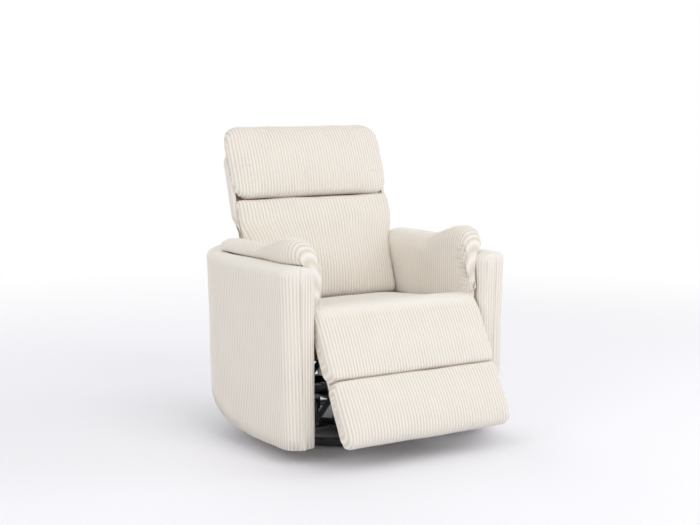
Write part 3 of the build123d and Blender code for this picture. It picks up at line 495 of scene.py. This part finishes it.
class ReclinerSettings(bpy.types.PropertyGroup):
    """Sizes and colours of the covers."""
    wale_pitch: bpy.props.FloatProperty(
        name="Wale pitch", description="Distance between wales in millimetres", default=11.5, min=6.0, max=20.0)
    wale_depth: bpy.props.FloatProperty(
        name="Wale depth", description="Height of a wale over its furrow in millimetres",
        default=2.0, min=0.0, max=5.0)
    pile_low: bpy.props.StringProperty(
        name="Pile shade", description="Darker colour of the pile, sRGB hex", default="EFEBE4")
    pile_high: bpy.props.StringProperty(
        name="Pile light", description="Lighter colour of the pile, sRGB hex", default="F7F5F1")
    # Painted shade: the darker colour put into the furrows between the wales.
    painted_furrow_shade: bpy.props.StringProperty(
        name="Furrow", description="Colour between the wales, sRGB hex", default="D7CDC0")
    worn: bpy.props.StringProperty(
        name="Brushed pile", description="Colour where the pile lies over, sRGB hex", default="EEE7DC")
    floor: bpy.props.StringProperty(
        name="Floor", description="Colour of the floor, sRGB hex", default="F5F5FA")


class RECLINER_OT_materials(bpy.types.Operator):
    """Makes the materials and gives the steel, wood, nylon and rubber pieces theirs"""
    bl_idname = "recliner.materials"
    bl_label = "Materials"

    def execute(self, context):
        settings = context.scene.recliner
        corduroy_cloth(settings)
        # Spun polyester thread: a fine matt twist a little darker than the pile.
        shader_of("spun_thread", "BFAE96", "D8CAB4", 0.6, (1, 1, 1), 0.1, {"Roughness": 0.8})
        # Stoved enamel on pressed steel: near black, satin, with a faint orange peel.
        enamel = shader_of("stoved_enamel", "121314", "1F2123", 2.5, (1, 1, 1), 0.05,
                           {"Roughness": 0.38, "Coat Weight": 0.25, "Coat Roughness": 0.3})[0]
        # Zinc-plated steel: grey, softly glossy, with cloudy plating.
        zinc = shader_of("zinc_plated_steel", "8C9092", "B4B7B6", 6.0, (1, 1, 1), 0.03,
                         {"Metallic": 1.0, "Roughness": 0.32})[0]
        # Oil-tempered spring wire: dark grey with fine drawing lines.
        wire = shader_of("oil_tempered_wire", "3A3B3D", "5C5E60", 1.5, (1, 1, 4), 0.03,
                         {"Metallic": 1.0, "Roughness": 0.4})[0]
        # Birch plywood: pale, long grain along the boards, matt.
        wood = shader_of("birch_plywood", "B98F5E", "DDBE8F", 9.0, (0.12, 1, 1), 0.2, {"Roughness": 0.65})[0]
        # Moulded nylon: off-white, waxy, slightly translucent.
        nylon = shader_of("moulded_nylon", "E6E4DC", "F2F1EC", 4.0, (1, 1, 1), 0.04,
                          {"Roughness": 0.42, "Subsurface Weight": 0.1, "Subsurface Radius": (0.002, 0.002, 0.002)})[0]
        # Vulcanised rubber: black, dull, fine mould grain.
        rubber = shader_of("vulcanised_rubber", "161616", "242424", 1.2, (1, 1, 1), 0.1, {"Roughness": 0.8})[0]
        by_slot = {"black_enamel": enamel, "zinc_steel": zinc, "spring_steel": wire, "plywood": wood,
                   "white_nylon": nylon, "black_rubber": rubber}
        for entry in frame["record"]["subparts"]:
            found = by_slot.get(entry["material_slot"], bpy.data.materials["cotton_corduroy"])
            node = frame["nodes"][entry["node"]]
            for place in node.material_slots:
                place.material = found
        return {"FINISHED"}


class RECLINER_OT_springs(bpy.types.Operator):
    """Copies the rocker springs into one welded, smooth-shaded piece of oil-tempered wire and hides the original"""
    bl_idname = "recliner.springs"
    bl_label = "Rocker springs"

    def execute(self, context):
        work = bmesh.new()
        work.from_mesh(frame["nodes"]["rocker_springs"].data)
        bmesh.ops.remove_doubles(work, verts=work.verts, dist=1e-6)
        data = bpy.data.meshes.new("rocker_coils")
        work.to_mesh(data)
        work.free()
        coils = bpy.data.objects.new("rocker_coils", data)
        context.scene.collection.objects.link(coils)
        data.materials.append(bpy.data.materials["oil_tempered_wire"])
        data.shade_smooth()
        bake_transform(coils)
        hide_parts("rocker_springs")
        return {"FINISHED"}


class RECLINER_OT_shell(bpy.types.Operator):
    """Covers the barrel shell"""
    bl_idname = "recliner.shell"
    bl_label = "Outer shell"

    def execute(self, context):
        settings = context.scene.recliner
        piece = shell_cover(settings)
        # Slack runs on the outer sides, then the small puckers under the rim at each nose.
        creases = [((s * 430, -330, z), (s * 440, -150, z + dz), 9, 1.6)
                   for s in (1, -1) for z, dz in ((520, -60), (330, -50))]
        creases += [((s * x, SHELL_FRONT, 596), (s * x, SHELL_FRONT, 585), 5, 2.0)
                    for s in (1, -1) for x in (345, 362, 398)]
        rib(piece, settings, levels=0, creases=creases, soft=0.8,
            smooth=lambda p: np.clip((618 - p[:, 2]) / 30, 0.2, 1))
        dress(piece, "chair", ["outer_shell"])
        return {"FINISHED"}


class RECLINER_OT_arm_pads(bpy.types.Operator):
    """Makes the two pillow arm pads"""
    bl_idname = "recliner.arm_pads"
    bl_label = "Arm pads"

    def execute(self, context):
        settings = context.scene.recliner
        for side in (1, -1):
            piece = arm_pad_cover(side, settings)
            points = positions(piece) / MM
            held = (points[:, 2] < PAD_REST - 1) | (np.abs(points[:, 1] - PAD_MIDDLE) > PAD_STRAIGHT)
            inflate(piece, held, 1.6, 7)
            # The fold between the lobes, the gathers down the front end, and those over the front lobe.
            creases = [((side * 292, -70, 655), (side * 345, -96, 690), 20, 4.5),
                       ((side * 345, -96, 690), (side * 404, -70, 650), 18, 5.0)]
            creases += [((side * 290, -340 + abs(z - 580) / 9, z), (side * 285, -340 + reach, z - 5), 4.2, 5.5)
                        for z, reach in zip(range(500, 672, 15), (34, 62, 40, 70, 36, 58, 44, 74, 38, 60, 42, 50))]
            creases += [((side * x, -334 + k, 640 - 5 * k), (side * (x + 4), -302, 668), 5, 2.6)
                        for k, x in enumerate((300, 312, 324, 336, 348, 360))]
            rib(piece, settings, creases=creases, soft=1.5,
                smooth=lambda p: np.clip(0.45 + (-p[:, 1] + 10) / 260, 0.35, 1))
            dress(piece, "chair", ["arm_pad_left" if side > 0 else "arm_pad_right"])
        return {"FINISHED"}


class RECLINER_OT_seat(bpy.types.Operator):
    """Makes the seat cushion and the front rail's cover"""
    bl_idname = "recliner.seat"
    bl_label = "Seat"

    def execute(self, context):
        settings = context.scene.recliner
        # The section ends behind in a low, narrower ledge that stays under the back when the back leans.
        seat = pad("seat_cover", settings, 289,
                   [(-287, 364.6), (78, 364.6), (78, 415), (54, 418), (49, 444), (-287, 468)], (8, 6, 6, 3, 18, 20),
                   side_place, 16, 30, 14, width=lambda a: np.interp(a, (48, 60), (1.0, 0.85)))
        points = positions(seat) / MM
        inflate(seat, (points[:, 2] < 425) | (np.abs(points[:, 0]) > 275) | (points[:, 1] < -262), 2.5, 12)
        rib(seat, settings, smooth=lambda p: np.clip((-p[:, 1] - 240) / 60, 0.25, 1))
        dress(seat, "seat", ["seat_cushion"])
        rail = pad("front_rail_cover", settings, 258, [(-283, 254), (-257.5, 254), (-257.5, 361), (-283, 361)],
                   (6, 4, 4, 6), side_place, 0, 6, 5)
        folds = [((s * 255, -283, 300), (s * 190, -283, 286), 6, 3) for s in (1, -1)]
        folds += [((s * 255, -283, 284), (s * 205, -283, 296), 5, 2.5) for s in (1, -1)]
        rib(rail, settings, creases=folds, smooth=lambda p: np.full(len(p), 0.15), soft=0.5)
        dress(rail, "seat", ["seat_front_rail"])
        return {"FINISHED"}


class RECLINER_OT_back(bpy.types.Operator):
    """Makes the lumbar cushion, the headrest and the panel behind them"""
    bl_idname = "recliner.back"
    bl_label = "Back"

    def execute(self, context):
        settings = context.scene.recliner
        # The back is narrow where it passes between the arm pads and wider above them.
        lumbar = pad("lumbar_cover", settings, 284, [(24, 10.4), (388.6, 10.4), (388.6, 46), (24, 44)],
                     (8, 8, 12, 20), back_place, 30, 8, 16, crown_power=0.45,
                     width=lambda a: np.interp(a, (240, 305), (1.0, 1.1)))
        head = pad("headrest_cover", settings, 316, [(389.2, 10.4), (651, 10.4), (661, 36), (389.2, 48)],
                   (8, 12, 26, 12), back_place, 36, 60, 20, crown_power=0.4)
        for piece, node in ((lumbar, "lumbar_cushion"), (head, "headrest_cushion")):
            up, ahead = back_reach(positions(piece) / MM)
            seam = (abs(up - 389) < 14) | (up < 32)
            inflate(piece, (ahead < 30) | seam, 2.5, 12)
            folds = [((s * 286, *back_place(up_at, 58)), (s * (286 - reach), *back_place(up_at - 8, 66)), width, 2.6)
                     for s in (1, -1)
                     for up_at, width, reach in ((575, 5, 34), (545, 4, 44), (505, 5, 40), (470, 4, 52),
                                                 (430, 5, 36), (340, 5, 42), (300, 4, 36), (262, 5, 30))]
            rib(piece, settings, creases=folds, soft=1.3)
            dress(piece, "back", [node])
        for side in (1, -1):
            strip = pad("back_side_cover_" + ("left" if side > 0 else "right"), settings, 7,
                        [(150, -15), (552, -15), (562, 25), (150, 22)], (4, 8, 8, 4), back_place, 0, 4, 3)
            points = positions(strip) / MM
            points[:, 0] += side * 274.5 * np.interp(back_reach(points)[0], (272, 330), (1.0, 1.12))
            strip.data.vertices.foreach_set("co", (points * MM).astype(np.float32).ravel())
            rib(strip, settings, soft=0.3, smooth=lambda p: np.full(len(p), 0.3))
            dress(strip, "back", [])
        panel = pad("back_panel_cover", settings, 299, [(31, -26.5), (544, -26.5), (544, -14.2), (31, -14.2)],
                    (5, 5, 3, 3), back_place, 0, 30, 5, width=lambda a: np.interp(a, (285, 345), (283 / 300, 1.02)))
        rib(panel, settings, soft=0.5)
        dress(panel, "back", ["back_panel"])
        seam = [(x, *back_place(389.2 + 2 * math.cos(x / 120), 47)) for x in np.linspace(-285, 285, 40)]
        stitches("headrest_seam_stitches", seam, "back")
        return {"FINISHED"}


class RECLINER_OT_footrest(bpy.types.Operator):
    """Makes the two footrest pads and their seam"""
    bl_idname = "recliner.footrest"
    bl_label = "Footrest"

    def execute(self, context):
        settings = context.scene.recliner
        # The upper pad's section has a tail that goes over the knuckle and down the seat's front.
        upper = pad("footrest_upper_cover", settings, 320,
                    [(211.8, -29.6), (4, -29.6), (-24, -21), (-37, -27), (-50, -70), (-62, -66), (-50, -14), (-27, 24),
                     (20, 30), (211.8, 29)], (4, 10, 6, 6, 3, 3, 34, 40, 60, 13), footrest_place, 8, 20, 12)
        lower = pad("footrest_lower_cover", settings, 320, [(212.2, 29), (424, 29), (424, -29.6), (212.2, -29.6)],
                    (13, 24, 10, 4), footrest_place, 8, 24, 12)
        rear = pad("footrest_rear_cover", settings, 301.5,
                   [(14.5, -29.9), (399.5, -29.9), (399.5, -45.2), (14.5, -45.2)], (4, 4, 4, 4),
                   footrest_place, 0, 8, 4)
        rib(rear, settings, soft=0.0, smooth=lambda p: np.full(len(p), 0.1))
        dress(rear, "footrest", ["footrest_board"])
        for piece in (upper, lower):
            down, ahead = footrest_reach(positions(piece) / MM)
            inflate(piece, (ahead < 10) | (abs(down - 212) < 12) | (down < 10), 2.0, 6)
            rib(piece, settings, soft=0.8,
                smooth=lambda p: np.clip(1.15 - np.clip(p[:, 2] - 452, 0, 30) / 28, 0.2, 1))
        dress(upper, "seat", ["footrest_upper_pad"],
              other=("footrest", (0, -0.292, 0.487), (0, -0.345, 0.455)))
        dress(lower, "footrest", ["footrest_lower_pad"])
        seam = [(x, *footrest_place(212, 20)) for x in np.linspace(-312, 312, 40)]
        stitches("footrest_seam_stitches", seam, "footrest")
        return {"FINISHED"}


class RECLINER_OT_stage(bpy.types.Operator):
    """Makes the floor, the lights and the camera"""
    bl_idname = "recliner.stage"
    bl_label = "Stage"

    def execute(self, context):
        settings, scene = context.scene.recliner, context.scene
        data = bpy.data.meshes.new("floor")
        data.from_pydata([(-30, -30, 0), (30, -30, 0), (30, 30, 0), (-30, 30, 0)], [], [(0, 1, 2, 3)])
        floor = bpy.data.objects.new("floor", data)
        scene.collection.objects.link(floor)
        paint = bpy.data.materials.new("matt_floor_paint")
        paint.use_nodes = True
        shader = paint.node_tree.nodes["Principled BSDF"]
        shader.inputs["Base Color"].default_value = linear(settings.floor)
        shader.inputs["Roughness"].default_value = 0.8
        data.materials.append(paint)
        tree = paint.node_tree
        # The floor turns into the white of the backdrop some way off, where only the camera sees it.
        place = add(tree, "ShaderNodeTexCoord").outputs["Object"]
        distance = add(tree, "ShaderNodeVectorMath", {"operation": "LENGTH"}, None, {0: place})
        far = add(tree, "ShaderNodeMapRange", {"interpolation_type": "SMOOTHSTEP"}, {"From Min": 1.2, "From Max": 4.5},
                  {"Value": distance.outputs["Value"]})
        camera_ray = add(tree, "ShaderNodeLightPath").outputs["Is Camera Ray"]
        white = add(tree, "ShaderNodeMath", {"operation": "MULTIPLY"}, None, {0: far.outputs[0], 1: camera_ray})
        glow = add(tree, "ShaderNodeEmission")
        blend = add(tree, "ShaderNodeMixShader", None, None,
                    {0: white.outputs[0], 1: shader.outputs[0], 2: glow.outputs[0]})
        tree.links.new(blend.outputs[0], tree.nodes["Material Output"].inputs["Surface"])
        world = bpy.data.worlds.new("studio")
        scene.world = world
        world.use_nodes = True
        tree = world.node_tree
        ray = add(tree, "ShaderNodeLightPath").outputs
        # Eye, reflections and glass see the world at full white, the light it throws is weaker.
        seen = ray["Is Camera Ray"]
        for kind in ("Is Glossy Ray", "Is Transmission Ray"):
            seen = add(tree, "ShaderNodeMath", {"operation": "MAXIMUM"}, None, {0: seen, 1: ray[kind]}).outputs[0]
        back = tree.nodes["Background"]
        back.inputs["Color"].default_value = (1, 1, 1, 1)
        level = add(tree, "ShaderNodeMapRange", None, {"To Min": 0.68, "To Max": 1.0}, {"Value": seen})
        tree.links.new(level.outputs[0], back.inputs["Strength"])
        for name, place, size, power, tint in LIGHTS:
            lamp = bpy.data.lights.new(name, "AREA")
            lamp.size, lamp.energy, lamp.color = size, power, tint
            holder = bpy.data.objects.new(name, lamp)
            scene.collection.objects.link(holder)
            holder.location = place
            aim = Vector((0, 0, 0.5)) - Vector(place)
            holder.rotation_euler = aim.to_track_quat("-Z", "Y").to_euler()
        camera = bpy.data.objects.new("camera", bpy.data.cameras.new("camera"))
        scene.collection.objects.link(camera)
        camera.data.sensor_width = 36.0
        camera.data.lens = camera.data.sensor_width * PHOTO_FOCAL / PHOTO_WIDTH
        camera.location = CAMERA_PLACE
        camera.rotation_euler = Vector(CAMERA_AIM).to_track_quat("-Z", "Y").to_euler()
        camera.data.clip_end = 200
        scene.camera = camera
        scene.view_settings.view_transform = "Standard"
        return {"FINISHED"}


class RECLINER_PT_panel(bpy.types.Panel):
    """Lists the pieces of the recliner"""
    bl_label = "Recliner"
    bl_idname = "RECLINER_PT_panel"
    bl_space_type = "VIEW_3D"
    bl_region_type = "UI"
    bl_category = "Recliner"

    def draw(self, context):
        for name in ReclinerSettings.__annotations__:
            self.layout.prop(context.scene.recliner, name)
        for operator in OPERATORS:
            self.layout.operator(operator.bl_idname)


OPERATORS = (RECLINER_OT_materials, RECLINER_OT_springs, RECLINER_OT_shell, RECLINER_OT_arm_pads,
             RECLINER_OT_seat, RECLINER_OT_back, RECLINER_OT_footrest, RECLINER_OT_stage)


def register():
    for made in (ReclinerSettings, *OPERATORS, RECLINER_PT_panel):
        bpy.utils.register_class(made)
    bpy.types.Scene.recliner = bpy.props.PointerProperty(type=ReclinerSettings)


def unregister():
    del bpy.types.Scene.recliner
    for made in (RECLINER_PT_panel, *reversed(OPERATORS), ReclinerSettings):
        bpy.utils.unregister_class(made)


def main():
    register()
    for operator in OPERATORS:
        getattr(bpy.ops.recliner, operator.bl_idname.split(".")[1])()


if __name__ == "__main__":
    main()
